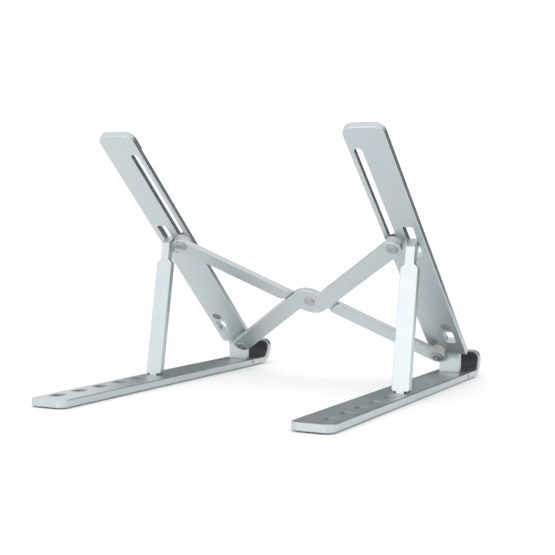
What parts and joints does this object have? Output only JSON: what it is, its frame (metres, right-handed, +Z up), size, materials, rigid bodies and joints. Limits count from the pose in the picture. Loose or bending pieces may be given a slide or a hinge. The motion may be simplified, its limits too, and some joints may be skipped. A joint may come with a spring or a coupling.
{
  "type": "laptop stand",
  "caption": "Folding aluminium laptop stand with tilting arms on flat bases, props in height holes, crossed bars between the sides and silicone pads.",
  "frame": {"origin": "on the desk, under the middle of the stand's box, halfway between the two bases and halfway along them", "axes": "+Z up; -Y towards the user, where the hooks are; +X to the user's right, so the right side's pieces are at +X"},
  "size_m": [0.169, 0.231, 0.1438],
  "materials": {
    "anodised_aluminium": "bead blasted, silver anodised",
    "silicone": "matt",
    "steel_pin": "ground",
    "rivet": "satin",
    "nylon": "matt grey"
  },
  "bodies": {
    "right_base": {"right_base": "anodised_aluminium", "right_front_foot": "silicone", "right_rear_foot": "silicone", "right_hook_pad": "silicone", "right_hinge_pin": "steel_pin"},
    "right_arm": {"right_arm": "anodised_aluminium", "right_lower_arm_pad": "silicone", "right_upper_arm_pad": "silicone", "right_bumper": "silicone", "right_strut_pin": "steel_pin", "right_pivot_rivet": "rivet", "right_pivot_spacer": "nylon"},
    "right_strut": {"right_strut": "anodised_aluminium"},
    "rear_bar": {"rear_cross_bar": "anodised_aluminium", "left_slot_rivet": "rivet", "left_slot_spacer": "nylon", "left_slot_washer": "nylon", "centre_rivet": "rivet", "centre_washer": "nylon"},
    "front_bar": {"front_cross_bar": "anodised_aluminium", "right_slot_rivet": "rivet", "right_slot_spacer": "nylon", "right_slot_washer": "nylon"},
    "left_arm": {"left_arm": "anodised_aluminium", "left_lower_arm_pad": "silicone", "left_upper_arm_pad": "silicone", "left_bumper": "silicone", "left_strut_pin": "steel_pin", "left_pivot_rivet": "rivet", "left_pivot_spacer": "nylon"},
    "left_strut": {"left_strut": "anodised_aluminium"},
    "left_base": {"left_base": "anodised_aluminium", "left_front_foot": "silicone", "left_rear_foot": "silicone", "left_hook_pad": "silicone", "left_hinge_pin": "steel_pin"}
  },
  "joints": [
    {"name": "arm_tilt", "type": "hinge", "parent": "right_base", "child": "right_arm", "pos_m": [0.0735, -0.089, 0.0026], "axis": [1, 0, 0], "range_deg": [0, 49]},
    {"name": "right_strut_swing", "type": "hinge", "parent": "right_arm", "child": "right_strut", "pos_m": [0.0772, -0.01118, 0.08416], "axis": [1, 0, 0], "range_deg": [-59.4, 0]},
    {"name": "cross_fold", "type": "hinge", "parent": "right_arm", "child": "rear_bar", "pos_m": [0.0666, -0.08398, 0.01822], "axis": [0, 0.6561, -0.7547], "range_deg": [0, 48.7]},
    {"name": "centre_turn", "type": "hinge", "parent": "rear_bar", "child": "front_bar", "pos_m": [0, -0.04599, 0.05125], "axis": [0, 0.6561, -0.7547], "range_deg": [-97.4, 0]},
    {"name": "left_pivot_turn", "type": "hinge", "parent": "front_bar", "child": "left_arm", "pos_m": [-0.0666, -0.08398, 0.01822], "axis": [0, 0.6561, -0.7547], "range_deg": [0, 48.7]},
    {"name": "left_strut_swing", "type": "hinge", "parent": "left_arm", "child": "left_strut", "pos_m": [-0.0772, -0.01118, 0.08416], "axis": [1, 0, 0], "range_deg": [-59.4, 0]},
    {"name": "left_base_turn", "type": "hinge", "parent": "left_arm", "child": "left_base", "pos_m": [-0.0735, -0.089, 0.0026], "axis": [1, 0, 0], "range_deg": [-49, 0]}
  ],
  "couplings": [
    {"joint": "right_strut_swing", "follows": "arm_tilt", "ratio": -1.2122},
    {"joint": "left_strut_swing", "follows": "arm_tilt", "ratio": -1.2122},
    {"joint": "left_base_turn", "follows": "arm_tilt", "ratio": -1},
    {"joint": "centre_turn", "follows": "cross_fold", "ratio": -2},
    {"joint": "left_pivot_turn", "follows": "cross_fold", "ratio": 1}
  ]
}
